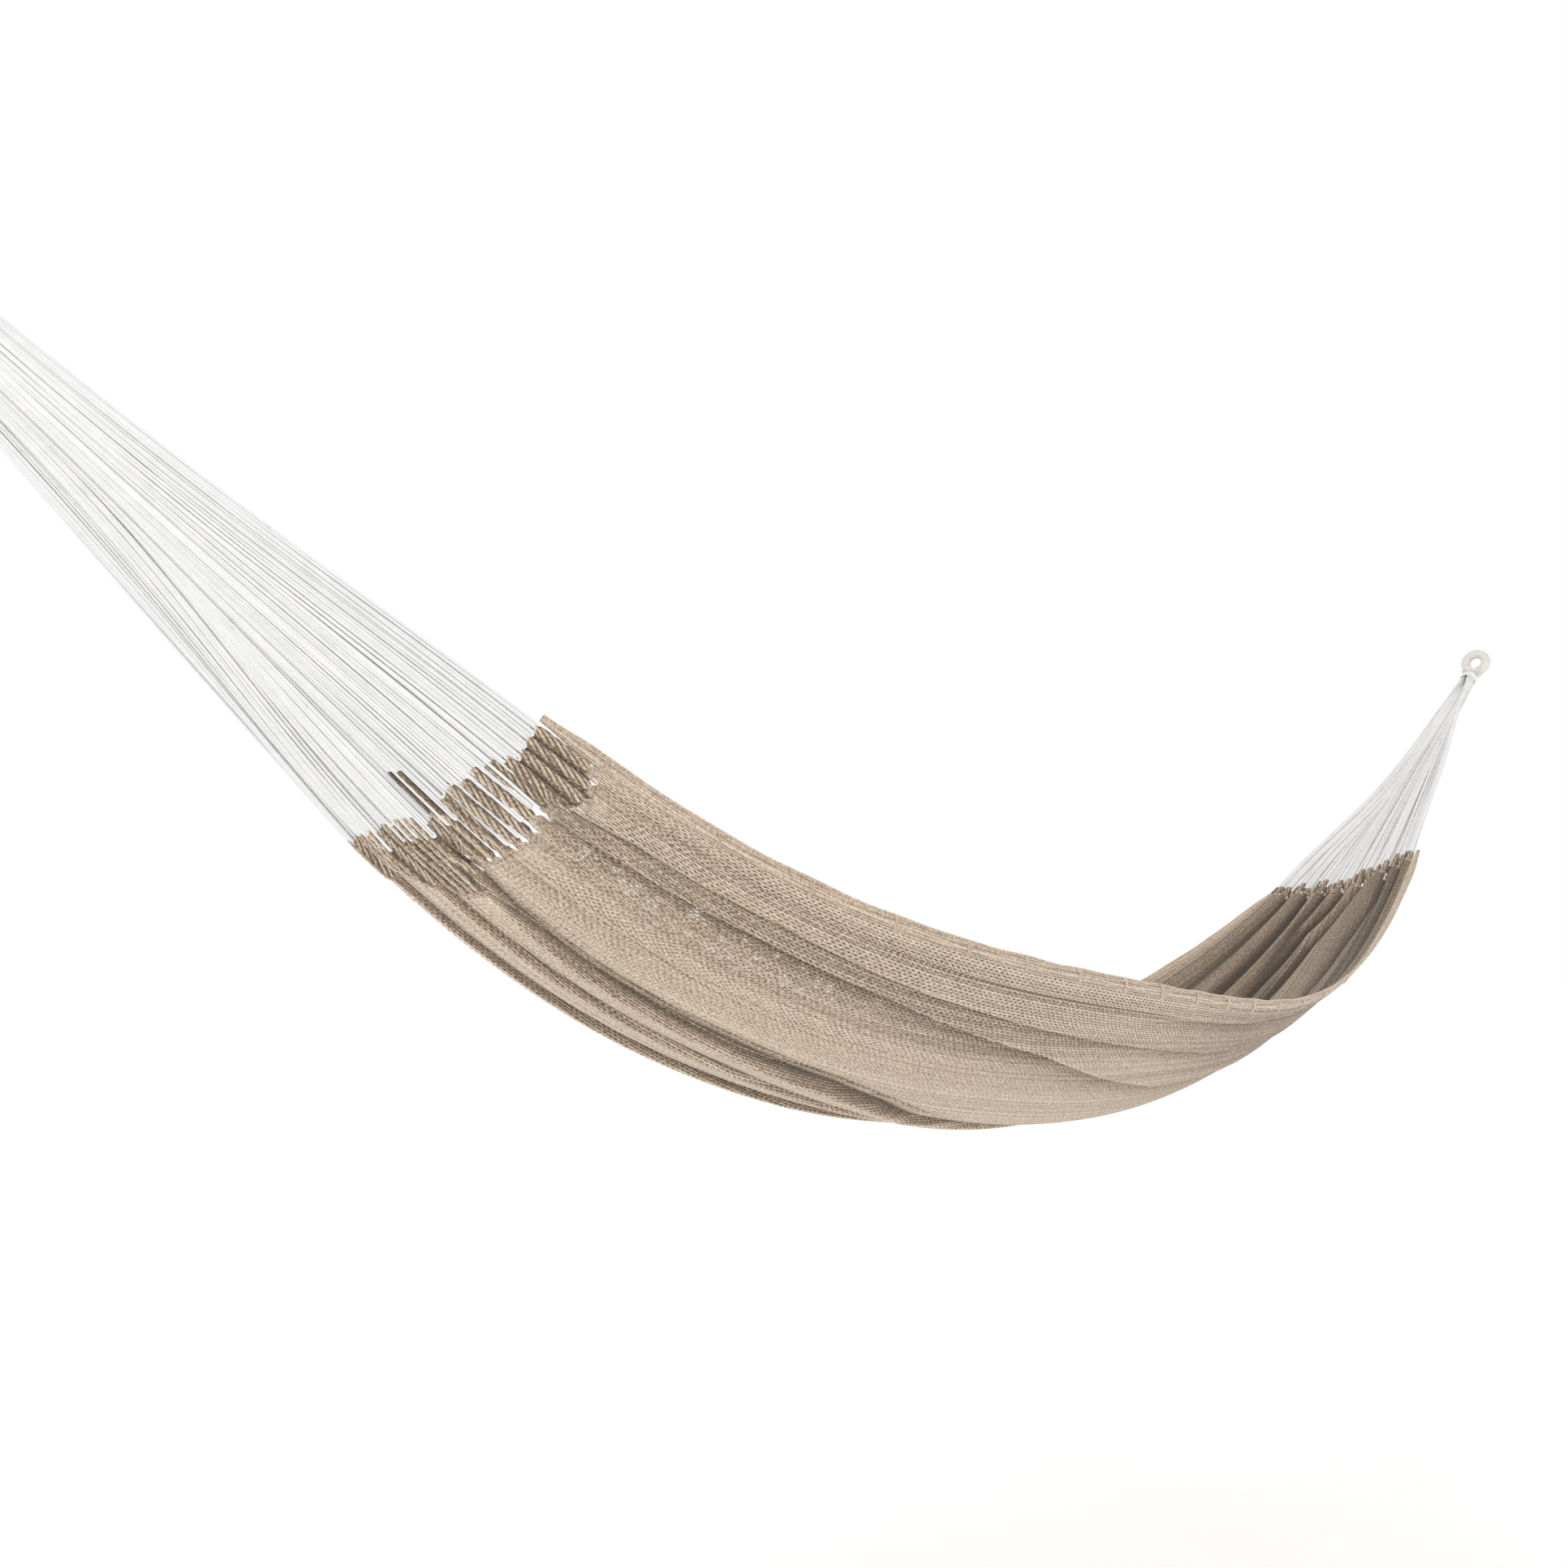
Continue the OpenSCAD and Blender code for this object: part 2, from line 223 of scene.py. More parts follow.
def lay_out():
    """Positions, sideways and outward directions on an even grid of the cloth, and its length."""
    fine_u, coarse_v = np.linspace(0, 1, FINE + 1), np.linspace(0, 1, COARSE + 1)
    sheet = bed(fine_u[:, None], coarse_v[None, :])
    step = np.linalg.norm(np.diff(sheet, axis=0), axis=-1).mean(axis=1)
    reach = np.concatenate([[0], np.cumsum(step)])
    length = reach[-1]
    rows = 2 * LEGS + 1
    u = np.interp(np.linspace(0, length, rows), reach, fine_u)[:, None]
    v = np.linspace(0, 1, DENSE + 1)[None, :]
    bare = bed(u, v)
    along, across = np.gradient(bare, axis=0), np.gradient(bare, axis=1)
    outward = -unit(np.cross(along, across))
    hops = np.linalg.norm(np.diff(bare, axis=1), axis=-1)
    share = np.concatenate([np.zeros((rows, 1)), np.cumsum(hops, axis=1)], axis=1)
    share /= share[:, -1:]
    out, lap, hidden = folds(u[:, 0], share)
    folded = bare + out[..., None] * outward + lap[..., None] * unit(across)
    hops = np.linalg.norm(np.diff(folded, axis=1), axis=-1)
    width = np.concatenate([np.zeros((rows, 1)), np.cumsum(hops, axis=1)], axis=1)
    even = np.linspace(0, 1, GRID + 1)
    table, dark = np.empty((rows, GRID + 1, 3)), np.empty((rows, GRID + 1, 1))
    for k in range(rows):
        w = width[k] / width[k, -1]
        for axis in range(3):
            table[k, :, axis] = np.interp(even, w, folded[k, :, axis])
        dark[k, :, 0] = np.interp(even, w, np.minimum(hidden[k], DARKEST))
    side = unit(np.gradient(table, axis=1))
    out = -unit(np.cross(np.gradient(table, axis=0), side))
    return table, side, out, dark, length, width[:, -1]


CLOTH, SIDEWAYS, OUTWARD, HIDDEN, LENGTH, WIDTHS = lay_out()
STEP = LENGTH / (2 * LEGS)


def looked_up(x, w, *tables):
    """The tables' values at distance x along and share w across."""
    x, w = np.broadcast_arrays(np.asarray(x, float), np.asarray(w, float))
    k = np.clip(x / STEP, 0, 2 * LEGS - 1e-6)
    j = np.clip(w * GRID, 0, GRID - 1e-6)
    k0, j0 = k.astype(int), j.astype(int)
    down, over = (k - k0)[..., None], (j - j0)[..., None]
    mixed = []
    for t in tables:
        near = t[k0, j0] * (1 - over) + t[k0, j0 + 1] * over
        far = t[k0 + 1, j0] * (1 - over) + t[k0 + 1, j0 + 1] * over
        mixed.append(near * (1 - down) + far * down)
    return mixed


def cloth(x, w):
    """Position, sideways and outward direction at distance x along and share w across."""
    at, side, out = looked_up(x, w, CLOTH, SIDEWAYS, OUTWARD)
    return at, unit(side), unit(out)


def hidden(x, w):
    """How closed in the cloth is, in the creases: how much painted shade the net's yarns get there."""
    return looked_up(x, w, HIDDEN)[0][..., 0]


# ---------------------------------------------------------------------------------------------
# Meshes of many round strands
# ---------------------------------------------------------------------------------------------
class Strands:
    """Collects tubes and makes one mesh of them, with a UV map that runs along and round each
    tube in metres and turns, and a tone for each tube, which carries random tone and painted shade and light."""

    def __init__(self):
        self.points, self.quads, self.uvs, self.tones, self.caps = [], [], [], [], []
        self.count = 0

    def add(self, path, radius, ref, sides=6, tone=0.0, closed=False):
        path = np.asarray(path, float)
        n = len(path)
        if closed:
            tangent = unit(np.roll(path, -1, axis=0) - np.roll(path, 1, axis=0))
        else:
            tangent = unit(np.gradient(path, axis=0))
        ref = np.broadcast_to(np.asarray(ref, float), path.shape)
        a = unit(ref - (ref * tangent).sum(-1, keepdims=True) * tangent)
        b = np.cross(tangent, a)
        radius = np.broadcast_to(np.asarray(radius, float), (n,))
        turn = 2 * np.pi * np.arange(sides) / sides
        ring = np.cos(turn)[None, :, None] * a[:, None] + np.sin(turn)[None, :, None] * b[:, None]
        self.points.append((path[:, None] + radius[:, None, None] * ring).reshape(-1, 3))
        rings = n if closed else n - 1
        j, k = np.meshgrid(np.arange(rings), np.arange(sides), indexing="ij")
        j2, k2 = (j + 1) % n, (k + 1) % sides
        quad = np.stack([j * sides + k, j * sides + k2, j2 * sides + k2, j2 * sides + k], axis=-1)
        self.quads.append(quad.reshape(-1, 4) + self.count)
        hops = np.linalg.norm(np.diff(np.vstack([path, path[:1]]), axis=0), axis=1)
        run = np.concatenate([[0], np.cumsum(hops)])
        uv = np.stack([
            np.stack([run[j], k / sides], -1), np.stack([run[j], (k + 1) / sides], -1),
            np.stack([run[j + 1], (k + 1) / sides], -1), np.stack([run[j + 1], k / sides], -1)], axis=2)
        self.uvs.append(uv.reshape(-1, 2))
        if not closed:
            self.caps.append(self.count + np.arange(sides)[::-1])
            self.caps.append(self.count + (n - 1) * sides + np.arange(sides))
        self.tones.append(np.repeat(np.broadcast_to(tone, (n,)), sides))
        self.count += n * sides

    def make(self, name):
        points, quads = np.vstack(self.points), np.vstack(self.quads)
        starts = [np.arange(len(quads)) * 4]
        loops = [quads.ravel()]
        uvs = [np.vstack(self.uvs)]
        at = quads.size
        for cap in self.caps:
            starts.append(np.array([at]))
            loops.append(cap)
            uvs.append(np.zeros((len(cap), 2)))
            at += len(cap)
        return mesh_object(name, points, np.concatenate(loops), np.concatenate(starts),
                           np.vstack(uvs), np.concatenate(self.tones))


def mesh_object(name, points, loops, starts, uvs=None, tones=None):
    me = bpy.data.meshes.new(name)
    me.vertices.add(len(points))
    me.vertices.foreach_set("co", np.ascontiguousarray(points, np.float32).ravel())
    me.loops.add(len(loops))
    me.loops.foreach_set("vertex_index", np.ascontiguousarray(loops, np.int32))
    me.polygons.add(len(starts))
    me.polygons.foreach_set("loop_start", np.ascontiguousarray(starts, np.int32))
    me.update(calc_edges=True)
    me.polygons.foreach_set("use_smooth", np.ones(len(starts), bool))
    if uvs is not None:
        layer = me.uv_layers.new(name="yarn")
        layer.data.foreach_set("uv", np.ascontiguousarray(uvs, np.float32).ravel())
    if tones is not None:
        tone = me.attributes.new("tone", "FLOAT", "POINT")
        tone.data.foreach_set("value", np.ascontiguousarray(tones, np.float32))
    me.validate()
    me.update()
    ob = bpy.data.objects.new(name, me)
    bpy.context.scene.collection.objects.link(ob)
    return ob


# ---------------------------------------------------------------------------------------------
# Materials
# ---------------------------------------------------------------------------------------------
class Nodes:
    """A few shorthands for building a material's node tree."""

    def __init__(self, name):
        self.material = bpy.data.materials.new(name)
        self.material.use_nodes = True
        self.tree = self.material.node_tree
        self.shader = self.tree.nodes["Principled BSDF"]

    def node(self, kind, **settings):
        n = self.tree.nodes.new(kind)
        for key, value in settings.items():
            setattr(n, key, value)
        return n

    def link(self, a, b):
        self.tree.links.new(a, b)

    def math(self, operation, a, b=0.0):
        n = self.node("ShaderNodeMath", operation=operation)
        for socket, value in zip(n.inputs, (a, b)):
            if isinstance(value, (int, float)):
                socket.default_value = value
            else:
                self.link(value, socket)
        return n.outputs[0]

    def noise(self, vector, scale, detail=2.0, roughness=0.5):
        n = self.node("ShaderNodeTexNoise")
        n.inputs["Scale"].default_value = scale
        n.inputs["Detail"].default_value = detail
        n.inputs["Roughness"].default_value = roughness
        self.link(vector, n.inputs["Vector"])
        return n.outputs["Fac"]

    def ramp(self, factor, stops):
        n = self.node("ShaderNodeValToRGB")
        elements = n.color_ramp.elements
        while len(elements) < len(stops):
            elements.new(0.5)
        for element, (place, colour) in zip(elements, stops):
            element.position = place
            element.color = (*colour, 1)
        self.link(factor, n.inputs["Fac"])
        return n.outputs["Color"]


FIBRES = 900              # the scale of the noise that stands for single fibres
TONE_STEP = 0.09          # how far one unit of a strand's tone moves it along the colour ramp
# The ramp's first colour is where the painted shade is darkest.
DEEPEST = 0.35            # the ramp's first colour, as a share of the dark one


def yarn_material(name, dark, middle, light, twist, mottle=330, fuzz=0.35, bumpy=0.7, depth=0.0003,
                  rough=(0.8, 0.95), sheen=0.25):
    """Twisted yarn: mottled fibre colours, a tone for each strand that also carries painted shade and light, and
    plies wound along it.
    """
    m = Nodes(name)
    place = m.node("ShaderNodeTexCoord").outputs["Object"]
    patches = m.noise(place, mottle, 3.0, 0.6)
    fibres = m.noise(place, FIBRES, 2.0)
    tone = m.node("ShaderNodeAttribute", attribute_name="tone").outputs["Fac"]
    uv = m.node("ShaderNodeSeparateXYZ")
    m.link(m.node("ShaderNodeUVMap", uv_map="yarn").outputs["UV"], uv.inputs[0])
    along, around = m.math("MULTIPLY", uv.outputs[0], 1 / twist), m.math("MULTIPLY", uv.outputs[1], 2)
    turns = m.math("ADD", along, around)
    wave = m.math("SINE", m.math("MULTIPLY", turns, 2 * math.pi))
    ply = m.math("ADD", m.math("MULTIPLY", wave, 0.5), 0.5)
    shade = m.math("ADD", patches, m.math("MULTIPLY", tone, TONE_STEP))
    shade = m.math("ADD", shade, m.math("MULTIPLY", m.math("SUBTRACT", fibres, 0.5), fuzz))
    shade = m.math("ADD", shade, m.math("MULTIPLY", m.math("SUBTRACT", ply, 0.5), fuzz / 3))
    deepest = tuple(DEEPEST * c for c in dark)
    colour = m.ramp(shade, [(0.0, deepest), (0.27, dark), (0.5, middle), (0.78, light)])
    m.link(colour, m.shader.inputs["Base Color"])
    spread = m.math("MULTIPLY", fibres, rough[1] - rough[0])
    m.link(m.math("ADD", spread, rough[0]), m.shader.inputs["Roughness"])
    m.shader.inputs["Specular IOR Level"].default_value = 0.25
    m.shader.inputs["Sheen Weight"].default_value = sheen
    m.shader.inputs["Sheen Roughness"].default_value = 0.6
    bump = m.node("ShaderNodeBump")
    bump.inputs["Strength"].default_value = bumpy
    bump.inputs["Distance"].default_value = depth
    m.link(m.math("ADD", ply, m.math("MULTIPLY", fibres, 0.6)), bump.inputs["Height"])
    m.link(bump.outputs["Normal"], m.shader.inputs["Normal"])
    return m.material


# Each material's darkest, middle and lightest colour, the length of a turn of its plies, in metres,
# and what else sets it apart.
COTTON = dict(mottle=60, fuzz=0.08, bumpy=0.15, depth=0.0001, rough=(0.6, 0.8), sheen=0.1)
FINISHES = {
    "net_yarn": ((0.30, 0.225, 0.155), (0.62, 0.495, 0.375), (0.86, 0.76, 0.63), 0.006, {}),
    # The net's ground is painted far darker than its yarns, as the shade between them.
    "net_ground": ((0.09, 0.065, 0.045), (0.16, 0.115, 0.08), (0.23, 0.17, 0.12), 0.006, {}),
    "loop_yarn": ((0.24, 0.175, 0.12), (0.56, 0.44, 0.325), (0.80, 0.69, 0.55), 0.006, {}),
    "border_yarn": ((0.38, 0.29, 0.20), (0.62, 0.50, 0.38), (0.84, 0.74, 0.62), 0.005, {}),
    "tie_yarn": ((0.46, 0.37, 0.27), (0.62, 0.51, 0.39), (0.78, 0.68, 0.56), 0.004, dict(depth=0.0002)),
    "arm_cord": ((0.78, 0.78, 0.773), (0.80, 0.797, 0.79), (0.865, 0.855, 0.842), 0.006, COTTON),
    "whipping_cord": ((0.76, 0.75, 0.72), (0.82, 0.805, 0.78), (0.87, 0.86, 0.84), 0.003, COTTON),
    "eye_wrap": ((0.62, 0.59, 0.54), (0.73, 0.70, 0.65), (0.80, 0.775, 0.735), 0.003, COTTON),
    "rope_core": ((0.50, 0.45, 0.38), (0.66, 0.61, 0.53), (0.76, 0.72, 0.65), 0.010, COTTON),
}
MATERIALS = {
    name: yarn_material(name, dark, middle, light, twist, **rest)
    for name, (dark, middle, light, twist, rest) in FINISHES.items()
}


def dress(piece, slot, body, *nodes, finish=None):
    """Gives a piece its material, named by the slot unless a finish is given, attaches it to its body and hides
    the CAD nodes that it stands for.
    """
    piece.data.materials.clear()
    piece.data.materials.append(MATERIALS[finish or slot])
    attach(piece, body)
    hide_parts(*nodes)
    return piece


# ---------------------------------------------------------------------------------------------
# The net
# ---------------------------------------------------------------------------------------------
# The fingers at each end, as rows of a place across the cloth (0 front edge, 1 back edge), the depth
# of the slots beside them, how far they reach past the net, and half their width, in millimetres.
FINGER_ROWS = {
    HEAD: [(0, 70, 4, 6.6), (0.11, 76, 9, 6.6), (0.125, 58, 24, 5.8), (0.25, 60, 28, 5.7),
           (0.30, 70, 22, 5.6), (0.325, 70, 72, 4.0), (0.36, 70, 72, 4.0), (0.385, 56, 12, 5.0),
           (0.43, 88, 28, 4.3), (0.60, 80, 26, 4.3), (0.66, 48, 20, 5.6), (0.80, 60, 15, 6.4),
           (0.92, 50, 9, 6.6), (1, 60, 4, 6.6)],
    FOOT: [(0, 22, 3, 6.0), (0.05, 20, 15, 6.0), (0.20, 30, 36, 5.6), (0.26, 16, 18, 6.0),
           (0.36, 26, 36, 5.6), (0.43, 16, 16, 6.0), (0.52, 26, 32, 5.6), (0.60, 16, 14, 6.0),
           (0.70, 24, 28, 5.6), (0.78, 16, 10, 6.0), (0.88, 22, 20, 5.8), (1, 26, 3, 6.0)],
}
SLOT_SPREAD, REACH_SPREAD = 7, 4
SHORTEST_SLOT, SHORTEST_REACH = 10, 3
# Two fingers at the head, painted darker as shade where they lie behind the others.
SHADED_FINGERS = (11, 12)   # at the head, behind the others


def finger_sizes():
    """Slot depth, reach and half width of every finger at each end, in metres."""
    rng = np.random.default_rng(7)
    share = (np.arange(FINGERS) + 0.5) / FINGERS
    sizes = {}
    for end in (HEAD, FOOT):
        places, slots, reaches, halves = zip(*FINGER_ROWS[end])
        slot = np.interp(share, places, slots) + rng.uniform(-1, 1, FINGERS) * SLOT_SPREAD
        reach = np.interp(share, places, reaches) + rng.uniform(-1, 1, FINGERS) * REACH_SPREAD
        half = np.interp(share, places, halves)
        sizes[end] = (np.maximum(slot, SHORTEST_SLOT) * MM, np.maximum(reach, SHORTEST_REACH) * MM,
                      half * MM)
    return sizes


SIZES = finger_sizes()
THIRDS = (("front", 0, 12), ("middle", 12, 23), ("back", 23, 35))


def first_row(end, finger):
    """The table row, counted from that end, where a finger's yarns join the net."""
    return 2 * int(round(SIZES[end][0][finger] / (2 * STEP)))


SETTLE = 0.05             # metres over which the meshes open, past the fingers
YARN_RADIUS = (0.7 * MM, 1.65 * MM)


def net_yarn(i):
    """The course of yarn i in the cloth between the fingers at the two ends, its path, outward
    direction and radius, and its place along and across. Neighbours lean together and apart in
    turn, row by row, so that the meshes stand open like bricks."""
    finger = i // PER_FINGER
    w = (i + 0.5) / YARNS
    k = np.arange(first_row(HEAD, finger), 2 * LEGS + 1 - first_row(FOOT, finger))
    x = k * STEP
    inside = smooth((x - x[0]) / SETTLE) * smooth((x[-1] - x) / SETTLE)
    wave = 1.5 * ripple(9 * w + 3 * x, 23 * w - 5 * x + 1) + 0.8 * ripple(88 * w + 4 * x)
    drift = STEP * wave * inside
    at, side, out = cloth(x + drift, w)
    calm = 1 - 0.35 * smooth((x / LENGTH - 0.35) / 0.4)
    lean = np.where((k + i) % 2, 1.0, -1.0) * inside * calm
    pitch = np.interp(x, np.linspace(0, LENGTH, len(WIDTHS)), WIDTHS) / YARNS
    open_up = smooth(0.5 + 0.9 * ripple(60 * w + 21 * x, 37 * w - 34 * x + 2, 90 * w + 50 * x))
    front = smooth((0.19 - w) / 0.05) * smooth((0.75 * LENGTH - x) / 0.5)
    reach = pitch * (0.07 + 0.07 * open_up + 0.07 * front)
    path = at + (reach * lean)[:, None] * side + (WEAVE * lean)[:, None] * out
    radius = np.clip(pitch * (0.495 - 0.035 * open_up - 0.02 * front), *YARN_RADIUS)
    return at, path, out, radius, x + drift, w


# Painted shade: how much darker, in tone, the yarns are painted deep in a fold, at the foot, and on the outside of
# the front.
SHADE_TONE, FOOT_SHADE_TONE, OUTER_SHADE_TONE = 3.8, 2.2, 1.0
TONE_SPREAD = 0.6
FINGERS_EACH = 6          # fingers' worth of yarns in one piece of the net


def make_net():
    rng = np.random.default_rng(11)
    tones = rng.normal(0, TONE_SPREAD, YARNS)
    panels = []
    for start in range(0, FINGERS, FINGERS_EACH):
        strands = Strands()
        for i in range(start * PER_FINGER, min(start + FINGERS_EACH, FINGERS) * PER_FINGER):
            _, path, out, radius, x, w = net_yarn(i)
            # the yarns are painted darker, as shade, in the folds, towards the foot and on the outside of the
            # front
            shade = SHADE_TONE * hidden(x, w) + FOOT_SHADE_TONE * smooth((x / LENGTH - 0.45) / 0.45)
            shade += OUTER_SHADE_TONE * smooth((0.45 - w) / 0.15) * smooth((x / LENGTH - 0.45) / 0.2)
            strands.add(path, radius, out, sides=5, tone=tones[i] - shade)
        piece = strands.make(f"net_yarn_{len(panels) + 1}")
        panels.append(dress(piece, "net_yarn", "sling", "bed_net"))
    return panels, tones


OPEN_MESHES = 0.30        # share of the meshes that stand open where the net is thinnest
THIN_HALF = 0.035         # half the width of the two thin bands, as a share of the cloth's width
GROUND_THICK = 0.7 * MM


def make_ground():
    """The twisted middle of the weave, a thin sheet that the yarns lie in, with the open meshes; it is painted
    dark, as the shade between the yarns.
    """
    rng = np.random.default_rng(5)
    picked = np.append(np.arange(0, YARNS, 2), YARNS - 1)
    grid = np.full((len(picked), LEGS + 1), -1)
    points, count = [], 0
    for line, i in enumerate(picked):
        at = net_yarn(i)[0][::2]
        cells = first_row(HEAD, i // PER_FINGER) // 2 + np.arange(len(at))
        grid[line, cells] = count + np.arange(len(at))
        points.append(at)
        count += len(at)
    quads = np.stack([grid[:-1, :-1], grid[1:, :-1], grid[1:, 1:], grid[:-1, 1:]], axis=-1)
    whole = (quads >= 0).all(axis=-1)
    share = (picked[:-1] / YARNS)[:, None]
    run = (np.arange(LEGS) / LEGS)[None, :]
    thin_line, far_line = 0.175 + 0.10 * run, 0.79
    thin = smooth((run - 0.03) / 0.05) * smooth((0.32 - run) / 0.16)
    thin = np.exp(-(((share - thin_line) / THIN_HALF) ** 2)) * thin
    far = smooth((run - 0.05) / 0.05) * smooth((0.4 - run) / 0.2)
    far = np.exp(-(((share - far_line) / THIN_HALF) ** 2)) * far
    open_mesh = rng.uniform(0, 1, whole.shape) < OPEN_MESHES * np.maximum(thin, 0.7 * far)
    quads = quads[whole & ~open_mesh]
    used, inverse = np.unique(quads, return_inverse=True)
    quads = inverse.reshape(quads.shape)
    piece = mesh_object("net_ground", np.vstack(points)[used], quads.ravel(), np.arange(len(quads)) * 4)
    solid = piece.modifiers.new("thickness", "SOLIDIFY")
    solid.thickness = GROUND_THICK
    solid.offset = 0
    return dress(piece, "net_yarn", "sling", "bed_net", finish="net_ground")


# ---------------------------------------------------------------------------------------------
# Fingers: the ends of the net, bunched and twisted, that the arm cords pass through
# ---------------------------------------------------------------------------------------------
FINGER_STEP = 2.2 * MM


def finger_line(end, finger):
    """The finger's middle line from the net to its tip, with sideways and outward directions."""
    reach = SIZES[end][1][finger]
    start = first_row(end, finger) * STEP
    w = (finger + 0.5) / FINGERS
    n = int((start + reach) / FINGER_STEP) + 2
    s = np.linspace(0, start + reach, n)
    x = start - s
    from_head = x if end == HEAD else LENGTH - x
    at, side, out = cloth(from_head, w)
    pull = unit(NECKS[end] - cloth(0 if end == HEAD else LENGTH, w)[0])
    at = at + np.maximum(-x, 0)[:, None] * pull
    return s, x, w, at, side, out, pull


THICK, DEEP, TIP_CLOSE, TWIST_PITCH = 1.5 * MM, 3.0 * MM, 9 * MM, 75 * MM
GATHER, TAPER, TIP_NARROW, TIP_THIN = 12 * MM, 0.2, 0.75, 0.6
# How far back from the tip the shaded fingers are painted darker as shade, and by how much in tone.
SHADED_LENGTH, SHADED_TONE = 65 * MM, 4.0
FILL, FILL_INSET, FILL_SHADE = 2.0 * MM, 7 * MM, 2.4   # the yarns inside a finger, deep in shade
# The yarn behind a narrow slot is painted dark, as the shade in the slot.
BACKING, BACKING_DEEP, BACKING_SHADE = 1.8 * MM, 2.6 * MM, 4.0   # the yarn behind a narrow slot
OPEN_SLOTS = (0.12, 0.37)   # across the cloth, where the slots at the head stand open


def slot_backing(end, finger):
    """The yarn behind the slot between this finger and the next, painted dark as the shade in the slot."""
    edge = (finger + 1) / FINGERS
    depth = min(first_row(end, finger), first_row(end, finger + 1)) * STEP
    x = np.linspace(depth, 0, int(depth / 0.003) + 3)
    at, _, out = cloth(x if end == HEAD else LENGTH - x, edge)
    return at - BACKING_DEEP * out, out


def make_fingers(end, tones):
    pieces, tips = [], []
    for group, low, high in THIRDS:
        strands = Strands()
        for f in range(low, high):
            s, x, w, at, side, out, pull = finger_line(end, f)
            start = s[0] + first_row(end, f) * STEP
            gather = smooth(s / GATHER)
            close = smooth((s - s[-1] + TIP_CLOSE) / TIP_CLOSE)
            taper = 1 - TAPER * smooth((s - start + 0.01) / (s[-1] - start + 0.01))
            closed = 1 - TIP_NARROW * close
            wide = (SIZES[end][2][f] - THICK) * taper
            inwards = np.clip(x, 0, None)
            from_head = inwards if end == HEAD else LENGTH - inwards
            middle, _, _ = cloth(from_head, w)
            for k in range(PER_FINGER):
                i = f * PER_FINGER + k
                own_w = (i + 0.5) / YARNS
                own, _, _ = cloth(from_head, own_w)
                turn = 2 * np.pi * (k / PER_FINGER + s / TWIST_PITCH)
                across, off = wide * closed * np.cos(turn), DEEP * closed * np.sin(turn)
                wound = across[:, None] * side + off[:, None] * out
                path = at + (1 - gather)[:, None] * (own - middle) + gather[:, None] * wound
                width = WIDTHS[0] if end == HEAD else WIDTHS[-1]
                thick = np.clip(0.45 * width / YARNS, 0.95 * MM, THICK) * (1 - gather) + THICK * gather
                thick = thick * (1 - TIP_THIN * close**3)
                # Painted shade: the strands are darker at a finger's two sides, towards the slots between the
                # fingers.
                side_shade = SHADE_TONE * np.abs(np.cos(turn)) ** 4 * gather
                # the shaded fingers are painted darker, as shade, over their last stretch towards the tip
                if end == HEAD and f in SHADED_FINGERS:
                    side_shade = side_shade + SHADED_TONE * smooth((s - s[-1] + SHADED_LENGTH) / 0.01)
                strands.add(path, thick, out, sides=6, tone=tones[i] - side_shade)
            within = (s > FILL_INSET) & (s < s[-1] - FILL_INSET)
            for place in (-0.5, 0, 0.5):
                fill = (at + (wide * closed * place)[:, None] * side)[within]
                thick = FILL * (1 - TIP_THIN * close[within])
                strands.add(fill, thick, out[within], sides=6, tone=-FILL_SHADE)
            open_slot = end == HEAD and OPEN_SLOTS[0] < (f + 1) / FINGERS < OPEN_SLOTS[1]
            if f + 1 < FINGERS and not open_slot:
                # a yarn painted dark, as shade, behind the narrow slot
                line, away = slot_backing(end, f)
                strands.add(line, BACKING, away, sides=6, tone=-BACKING_SHADE)
            tips.append((at[-1], side[-1], out[-1], pull))
        piece = strands.make(f"{ENDS[end]}_loops_{group}_yarn")
        pieces.append(dress(piece, "loop_yarn", "sling", f"{ENDS[end]}_loops_{group}"))
    return pieces, tips


# ---------------------------------------------------------------------------------------------
# Arms: white cords from the fingers to the neck
# ---------------------------------------------------------------------------------------------
CORD_AT_BED, CORD_AT_NECK = 1.6 * MM, 1.15 * MM   # radius
NECK_BUNDLE = (11 * MM, 14 * MM)
WHIPPING_START = 12 * MM
ARM_END = 14 * MM
ARM_SWELL, ARM_LAYERS, OWN_WANDER = 2.4 * MM, 1.2 * MM, 0.4 * MM
# How far the cords draw in between the neck and the bed, in millimetres, by their place across.
ARM_WAIST = {
    HEAD: [(0, 8), (0.25, 10), (0.5, 20), (0.65, 22), (0.85, 10), (1, 8)],
    FOOT: [(0, 14), (0.25, 4), (0.5, 2), (0.75, 18), (0.9, 26), (1, 20)],
}
# Painted light: the foot arm's cords are painted lighter than the head arm's.
ARM_LIGHT_TONE = (0.0, 3.0)     # how much lighter, in tone, the cords are at the head and at the foot
CORD_SPREAD = (0.88, 1.1)
BIGHT_AT_TIP, BIGHT_IN_SLOT = 2.6 * MM, 1.9 * MM
DEEP_SLOTS = (0.13, 0.30)   # across the cloth, where the cords go right down into the slots at the head


def arm_down(end):
    """Square to the arm, in the plane of the hammock's length, downwards."""
    side = -1 if end == HEAD else 1
    return np.array([side * math.sin(ARM_SLOPE), 0, -math.cos(ARM_SLOPE)])


LEG_POINTS = 24
LEG_SPREAD = 0.0625       # how far the two legs of a cord stand from its place, in fingers
BIGHT = np.linspace(0, np.pi, 7)[1:-1, None]


